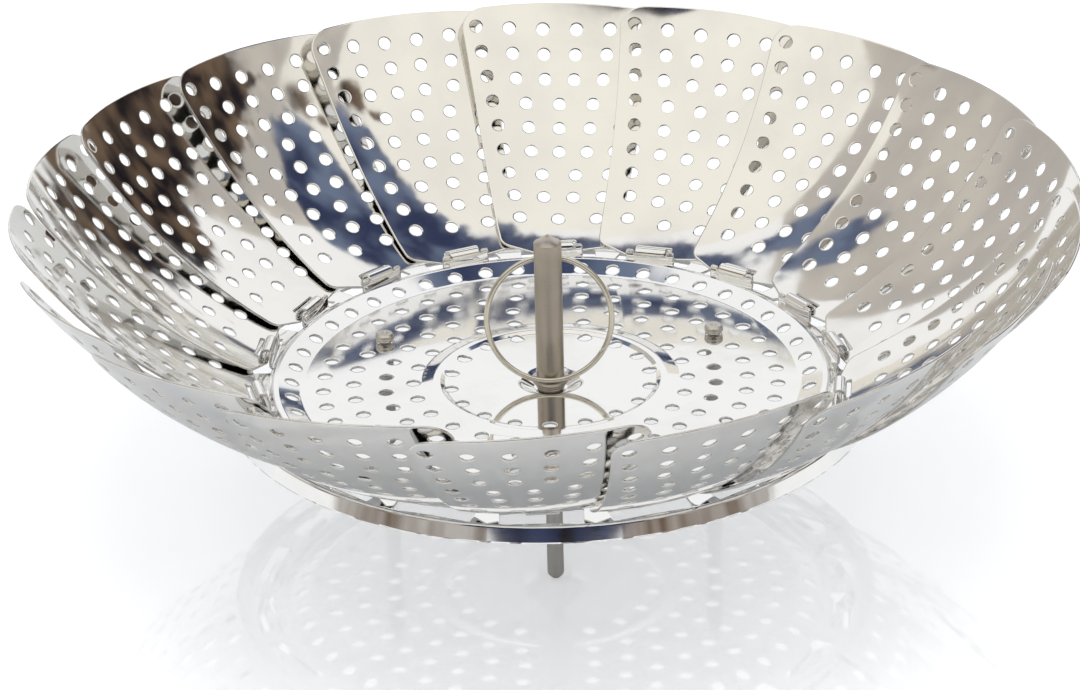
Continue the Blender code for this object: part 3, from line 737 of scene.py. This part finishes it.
# %% [markdown]
# ## The pan
#
# From the middle outward the pan has a dimple that holds the post, a raised bead, a flat
# floor for the food, a low cove and a narrow crest. Outside the crest it drops to the
# ledge where the petals hang, and ends in a valley, a rounded shoulder and a short
# skirt. Each petal has a window in the ledge. A lug stands up from the window's inner
# edge. Its middle is a hook that arches over the strip at the petal's foot and goes
# down through its slot, and its two ears stand straight beside the hook. The holes
# stand in six rings, from 18 inside the bead to 48 along the cove, and one is missing
# at each leg.
#
# A lug belongs to the same blank. In the flat pattern it lies in its window, drawn
# shorter than it is, and the pressing rule gives it its true length as it bends it up.

# %% The pan's profile
pan_thickness = 0.0006
floor_drop, dimple_drop = 0.0020, 0.0043    # below the crest
# Radius, height from the crest and rounding, from the middle out to the skirt's edge
pan_corners = [(0.0, -dimple_drop, 0), (0.0036, -dimple_drop, 0.0020),
               (0.0075, -floor_drop, 0.0030), (0.0243, -floor_drop, 0.0010),
               (0.0256, -0.0013, 0.0010), (0.0268, -0.0013, 0.0030),
               (0.0300, -floor_drop, 0.0030), (0.0575, -floor_drop, 0.0030),
               (0.0629, 0.0, 0.0014), (0.0641, 0.0, 0.0007), (0.0649, -0.0010, 0.0003),
               (0.0719, -0.0016, 0.0011), (0.0732, -0.0005, 0.0008),
               (0.0739, -0.0008, 0.0010), (0.0753, -0.0041, 0)]
pan_run, pan_radius, pan_height, pan_slope = profile_curve(pan_corners)


def run_at(radius):
    """Distance along the profile at a radius."""
    return float(np.interp(radius, pan_radius, pan_run))


print("pan profile", round(pan_run[-1] * 1000, 1), "mm long")

# %% Where a lug goes
hook_radius, root_bend = 0.00125, 0.00055   # to the middle of the sheet
arch_rise, hook_leg = 0.0010, 0.0014
lug_root, lug_share = -0.0018, 0.60         # share of its true length when flat
lug_half, hook_half, slit_width, ear_rise = 0.0060, 0.00375, 0.00035, 0.0012
bar = run_at(hinge_radius)
root_height = float(np.interp(hinge_radius + lug_root, pan_radius, pan_height)) \
    + crest_height - hinge_height
lug_foot = root_height - pan_thickness / 2 + root_bend
root_length = root_bend * math.pi / 2
upright = arch_rise - lug_foot
lug_length = root_length + upright + math.pi * hook_radius + hook_leg
ear_top = root_length + upright + ear_rise
end_margin, side_margin = 0.0003, 0.0002    # how far past its outline is still the lug


def turned_xy(x, y, angle):
    """Coordinates turned about the origin: numbers, or whole arrays."""
    c, s = np.cos(angle), np.sin(angle)
    return c * x - s * y, s * x + c * y


def lug_place(length, across):
    """A lug's middle surface and upper normals, in its petal's hinge frame."""
    ear = np.abs(across) > hook_half + slit_width / 2
    bend = np.minimum(length, root_length) / root_bend
    turn = np.clip((length - root_length - upright) / hook_radius, 0, math.pi) * ~ear
    rest = np.maximum(length - root_length - upright - math.pi * hook_radius, 0)
    rise = np.clip(length - root_length, 0, np.where(ear, 1.0, upright))
    at_root = length < root_length
    over = (length > root_length + upright) & ~ear
    nx = np.where(at_root, -np.sin(bend), -np.cos(turn))
    nz = np.where(at_root, np.cos(bend), np.sin(turn))
    x = np.where(at_root, lug_root - nx * root_bend, nx * hook_radius)
    z = np.where(at_root, lug_foot - nz * root_bend,
                 np.where(over, arch_rise - rest + nz * hook_radius, lug_foot + rise))
    return np.stack([x, across, z], axis=1), np.stack([nx, 0 * nx, nz], axis=1)


def pan_place(flat):
    """The pressed pan's middle surface and normals, its lugs included."""
    run = np.hypot(flat[:, 0], flat[:, 1])
    cos_a, sin_a = flat[:, 0] / np.maximum(run, 1e-9), flat[:, 1] / np.maximum(run, 1e-9)
    radius = np.interp(run, pan_run, pan_radius)
    height = np.interp(run, pan_run, pan_height)
    slope = np.interp(run, pan_run, pan_slope)
    normal = np.stack([-np.sin(slope) * cos_a, -np.sin(slope) * sin_a, np.cos(slope)], axis=1)
    upper = np.stack([radius * cos_a, radius * sin_a, height + crest_height], axis=1)
    centre = upper - normal * pan_thickness / 2

    nearest = np.round((np.arctan2(flat[:, 1], flat[:, 0]) - first_petal) / pitch)
    turn = first_petal + nearest * pitch
    along, aside = turned_xy(flat[:, 0], flat[:, 1], -turn)
    x, y = turned_xy(along - bar, aside, -hinge_skew)
    length = (x - lug_root) / lug_share
    ear = np.abs(y) > hook_half + slit_width / 2
    end = np.where(ear, ear_top, lug_length) + end_margin
    on_lug = (length > 1e-6) & (length < end) & (np.abs(y) < lug_half + side_margin)
    place, upward = lug_place(length, y)
    x, y = turned_xy(place[:, 0], place[:, 1], hinge_skew)
    x, y = turned_xy(x + hinge_radius, y, turn)
    place = np.stack([x, y, place[:, 2] + hinge_height], axis=1)
    upward = np.stack([*turned_xy(upward[:, 0], 0.0, turn + hinge_skew), upward[:, 2]], axis=1)
    return np.where(on_lug[:, None], place, centre), np.where(on_lug[:, None], upward, normal)


print("a lug is", round(lug_length * 1000, 1), "mm long")

# %% Openings of the pan
def turned_flat(points, angle):
    """Flat points turned about the middle."""
    return [turned_xy(x, y, angle) for x, y in points]


slit_turn, first_hook_turn = math.radians(12), math.radians(24)
slit_end = root_length + upright + hook_radius * slit_turn
wide_lengths = [root_length * k / 4 for k in range(1, 5)]
wide_lengths += [root_length + upright * k / 3 for k in (1, 2)]
hook_lengths = np.linspace(root_length + upright + hook_radius * first_hook_turn,
                           root_length + upright + math.pi * hook_radius, 12)
slit_edge = hook_half + slit_width
lug_side = [(0.0, lug_half, 0.0002)] + [(run, lug_half, 0) for run in wide_lengths]
lug_side += [(ear_top, lug_half, 0.0005), (ear_top, slit_edge, 0.0003),
             (slit_end, slit_edge, 0), (slit_end, hook_half, 0)]
lug_side += [(run, hook_half, 0) for run in hook_lengths]
lug_side += [(lug_length, hook_half, 0.0004)]


def on_blank(x, y):
    """A point of a petal's hinge frame in the pan's flat pattern, at azimuth 0."""
    x, y = turned_xy(x, y, hinge_skew)
    return bar + x, y


half_window, window_reach = 0.0094, 0.0036
outer = run_at(hinge_radius + window_reach)
outer_corner, inner_corner = 0.0005, 0.0004
corners = [(outer, -half_window, outer_corner)]
corners += [(outer, half_window * share, 0) for share in (-0.6, -0.2, 0.2, 0.6)]
corners += [(outer, half_window, outer_corner),
            (*on_blank(lug_root, half_window), inner_corner)]
lug_corners = [(lug_root + run * lug_share, across, radius) for run, across, radius in lug_side]
corners += [(*on_blank(x, y), radius) for x, y, radius in lug_corners]
corners += [(*on_blank(x, -y), radius) for x, y, radius in reversed(lug_corners)]
corners += [(*on_blank(lug_root, -half_window), inner_corner)]
window = rounded(corners, 3)
pan_openings = [turned_flat(window, first_petal + k * pitch) for k in range(petal_count)]

leg_angles = [math.radians(a) for a in (30, 150, 270)]
leg_circle = 0.0448
leg_clear, leg_hole, stud_hole = 0.0050, 0.0019, 0.0026
legs_flat = np.array([(math.cos(a) * run_at(leg_circle), math.sin(a) * run_at(leg_circle))
                      for a in leg_angles])
# Radius, count and first azimuth in degrees of each ring of holes
hole_rings = [(0.0232, 18, 8.9), (0.0317, 24, 0.0), (0.0382, 30, 6.8),
              (0.0455, 36, -0.2), (0.0525, 42, 3.5), (0.0597, 48, -0.4)]
for radius, count, phase in hole_rings:
    for k in range(count):
        a = math.radians(phase) + math.tau * k / count
        x, y = run_at(radius) * math.cos(a), run_at(radius) * math.sin(a)
        if np.hypot(*(legs_flat - (x, y)).T).min() > leg_clear:
            pan_openings.append(circle(x, y, hole_radius))
pan_openings += [circle(x, y, leg_hole) for x, y in legs_flat]
pan_openings.append(circle(0.0, 0.0, stud_hole))
print("the pan has", len(pan_openings), "openings")

# %% Press the pan
ring_points = 216
hole_clear, lug_clear = 0.00055, 0.0007     # from an opening's edge to the nearest spot
ring_angles = first_petal + pitch / 2 + np.arange(ring_points) * math.tau / ring_points
around = np.stack([np.cos(ring_angles), np.sin(ring_angles)], axis=1)
grown = [np.asarray(hole) + hole_clear * outward(hole) for hole in pan_openings]
pan_spots, pan_pairs = [], []
for run in (*wide_lengths, *hook_lengths):
    half = (lug_half if run < slit_end else hook_half) - lug_clear
    for k in range(petal_count):
        row = turned_flat([on_blank(lug_root + run * lug_share, side * half)
                           for side in (-1, 0, 1)], first_petal + k * pitch)
        pan_pairs += [(len(pan_spots), len(pan_spots) + 1),
                      (len(pan_spots) + 1, len(pan_spots) + 2)]
        pan_spots.extend(row)
for run in pan_run[1:-1]:
    ring = around * run
    between = (ring + np.roll(ring, -1, axis=0)) / 2
    clear, clear_next = np.ones(ring_points, bool), np.ones(ring_points, bool)
    for hole in grown:
        clear &= ~inside(ring, hole)
        clear_next &= ~inside(between, hole)
    number = np.cumsum(clear) - 1 + len(pan_spots)
    pan_spots.extend(ring[clear].tolist())
    joined = clear & np.roll(clear, -1) & clear_next
    pan_pairs.extend((int(number[k]), int(number[(k + 1) % ring_points]))
                     for k in np.flatnonzero(joined))
pan_mesh = press("pan", (around * pan_run[-1]).tolist(), pan_openings, pan_spots, pan_pairs,
                 pan_place, pan_thickness, [pan_steel, sheared_edge])
pan = add_object("pan_pressing", pan_mesh)
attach(pan, "base")
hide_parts("base_pan")

# %% [markdown]
# ## The post and the legs
#
# These were turned from bar, so each is a profile swept round its axis. The post has a
# small cone on top, a tapered collar with two grooves that the ring rests on, and a
# threaded stud that passes through the pan to a nut. A leg ends in a rounded foot. Its
# upper end goes through the pan and is spread into a rivet head with a dimple.

# %% Turning
def turned(name, corners, sides, finish, steps=4):
    """A closed solid swept round Z from a profile that starts and ends on the axis."""
    _, radius, height, slope = profile_curve(corners, steps)
    angles = np.arange(sides) * math.tau / sides
    points, normals, rings = [], [], []
    for r, z, a in zip(radius, height, slope):
        spread = angles if r > 1e-7 else angles[:1]
        rings.append(range(len(points), len(points) + len(spread)))
        points.extend((r * math.cos(t), r * math.sin(t), z) for t in spread)
        normals.extend((math.sin(a) * math.cos(t), math.sin(a) * math.sin(t), -math.cos(a))
                       if r > 1e-7 else (0.0, 0.0, -math.cos(a)) for t in spread)
    faces = []
    for low, high in zip(rings, rings[1:]):
        for k in range(sides):
            n = (k + 1) % sides
            if len(low) == 1:
                faces.append((low[0], high[n], high[k]))
            elif len(high) == 1:
                faces.append((low[k], low[n], high[0]))
            else:
                faces.append((low[k], low[n], high[n], high[k]))
    mesh = bpy.data.meshes.new(name)
    mesh.from_pydata(points, [], faces)
    mesh.materials.append(finish)
    mesh.polygons.foreach_set("use_smooth", np.ones(len(faces), bool))
    mesh.normals_split_custom_set_from_vertices(normals)
    print(name, "turned with", len(faces), "faces")
    return mesh

# %% The post
seat_gap, under_gap = 0.0002, 0.0009        # from the pan's upper face, up and down
post_radius, post_rise = 0.0032, 0.0348
dimple_height = crest_height - dimple_drop
post_seat = dimple_height + seat_gap
post_tip = crest_height + post_rise
stud_end, thread_pitch = 0.0211, 0.0005
# Radius, height and rounding: the stud and its thread, the collar's grooves, the cone
post_corners = [(0.0, stud_end, 0), (0.00175, stud_end, 0.0002)]
for turn in range(5):
    z = stud_end + 0.0003 + turn * thread_pitch
    post_corners += [(0.0020, z, 0.00005), (0.0020, z + 0.0001, 0.00005),
                     (0.00176, z + 0.00025, 0.00005)]
post_corners += [(0.0019, post_seat, 0.0001), (0.00300, post_seat, 0.00015),
                 (0.00335, post_seat + 0.0006, 0.0002),
                 (0.00320, post_seat + 0.0008, 0.00008),
                 (0.00330, post_seat + 0.00095, 0.00008),
                 (0.00370, post_seat + 0.0013, 0.0002),
                 (0.00355, post_seat + 0.0015, 0.00008),
                 (0.00365, post_seat + 0.00165, 0.00008),
                 (0.00435, post_seat + 0.0020, 0.0003),
                 (0.00435, post_seat + 0.0029, 0.0002),
                 (0.00325, post_seat + 0.0029, 0.00005),
                 (post_radius, post_seat + 0.00305, 0.0001),
                 (post_radius, post_tip - 0.0021, 0.00025), (0.0, post_tip, 0)]
post = add_object("turned_post", turned("turned_post", post_corners, 64, post_steel))
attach(post, "base")
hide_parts("center_post")

# %% The nut
nut_top, nut_height = dimple_height - under_gap, 0.0024
nut_reach, nut_corner, nut_bore = 0.00404, 0.0003, 0.00225
nut_outline = rounded([(nut_reach * math.cos(a), nut_reach * math.sin(a), nut_corner)
                       for a in np.arange(6) * math.tau / 6], 3)


def nut_place(flat):
    """A flat plate at the nut's height."""
    centre = np.column_stack([flat, np.full(len(flat), nut_top - nut_height / 2)])
    return centre, np.tile([0.0, 0.0, 1.0], (len(flat), 1))


nut_mesh = press("nut", nut_outline, [circle(0.0, 0.0, nut_bore, 32)], [(0.0, 0.0)], [],
                 nut_place, nut_height, [rivet_steel])
nut = add_object("hex_nut", nut_mesh)
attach(nut, "base")
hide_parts("post_nut")

# %% The legs
floor_height = crest_height - floor_drop
leg_under, leg_seat = floor_height - under_gap, floor_height + seat_gap
# Radius, height and rounding: the foot, the neck in the pan, the rivet head
leg_corners = [(0.0, 0.0, 0), (0.0009, 0.0, 0.0004), (0.00185, 0.0010, 0.0012),
               (0.00185, leg_under, 0.00015), (0.0013, leg_under, 0.0001),
               (0.0013, leg_seat, 0.0001), (0.00185, leg_seat, 0.0001),
               (0.00222, leg_seat + 0.0007, 0.0003), (0.00212, leg_seat + 0.0009, 0.0001),
               (0.00222, leg_seat + 0.0011, 0.0002), (0.00218, leg_seat + 0.0016, 0.0004),
               (0.00172, leg_seat + 0.0021, 0.0003), (0.0008, leg_seat + 0.0021, 0.0002),
               (0.0003, leg_seat + 0.0018, 0.0003), (0.0, leg_seat + 0.0018, 0)]
leg_mesh = turned("riveted_leg", leg_corners, 40, rivet_steel)
for k, angle in enumerate(leg_angles):
    leg = add_object(f"riveted_leg_{k + 1}", leg_mesh)
    leg.location = (leg_circle * math.cos(angle), leg_circle * math.sin(angle), 0.0)
    leg.rotation_euler.z = angle
    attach(leg, "base")
    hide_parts(f"leg_{k + 1}")

# %% [markdown]
# ## The ring
#
# The ring is a length of drawn wire bent round until its ends meet, so it has a fine
# seam. It stands on the collar in front of the post and leans back until its top
# touches the post from behind. It is one sweep: circles of wire set along an arc that
# stops just short of a full turn, with slightly rounded ends.

# %% Bend the ring
wire_radius, ring_radius, ring_play = 0.00065, 0.01435, 0.0003
ring_rest, ring_lift = 0.0028, 0.0006       # their sum is the wire above the dimple
post_gap = post_radius + wire_radius + ring_play
ring_pivot = Vector((0.0, -post_gap, dimple_height + ring_rest + wire_radius + ring_lift))
ring_lean = math.asin(post_gap / ring_radius)
wire_sides, seam_angle, seam_gap = 20, math.radians(58), 0.00012
span = math.tau - seam_gap / ring_radius
end_roll = 0.00012
stations = [(0.0, 0.80), (end_roll * 0.4 / ring_radius, 0.95)]
stations += [(t, 1.0) for t in np.linspace(end_roll / ring_radius,
                                           span - end_roll / ring_radius, 150)]
stations += [(span - end_roll * 0.4 / ring_radius, 0.95), (span, 0.80)]
bm = bmesh.new()
loops = []
for turn, thickness in stations:
    t = seam_angle + turn
    arm = Vector((math.sin(t), 0.0, -math.cos(t)))
    middle = Vector((0.0, 0.0, ring_radius)) + arm * ring_radius
    loops.append([bm.verts.new(middle + wire_radius * thickness
                               * (arm * math.cos(a) + Vector((0.0, math.sin(a), 0.0))))
                  for a in (math.tau * j / wire_sides for j in range(wire_sides))])
for loop, following in zip(loops, loops[1:]):
    for j in range(wire_sides):
        n = (j + 1) % wire_sides
        bm.faces.new((loop[j], following[j], following[n], loop[n]))
bm.faces.new(loops[0])
bm.faces.new(loops[-1][::-1])
bmesh.ops.recalc_face_normals(bm, faces=bm.faces[:])
ring_mesh = bpy.data.meshes.new("wire_ring")
bm.to_mesh(ring_mesh)
bm.free()
ring_mesh.shade_smooth()
ring_mesh.set_sharp_from_angle(angle=math.radians(50))
ring_mesh.materials.append(wire_steel)
ring = add_object("wire_ring", ring_mesh)
ring.matrix_world = Matrix.Translation(ring_pivot) @ Matrix.Rotation(-ring_lean, 4, "X")
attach(ring, "lifting_ring")
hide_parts("lifting_ring")
print("ring", round(2000 * (ring_radius + wire_radius), 1), "mm across")

# %% [markdown]
# ## Finish
#
# The visible pieces are made to fill the same box as the CAD model.

# %% Finish
print("scene built")
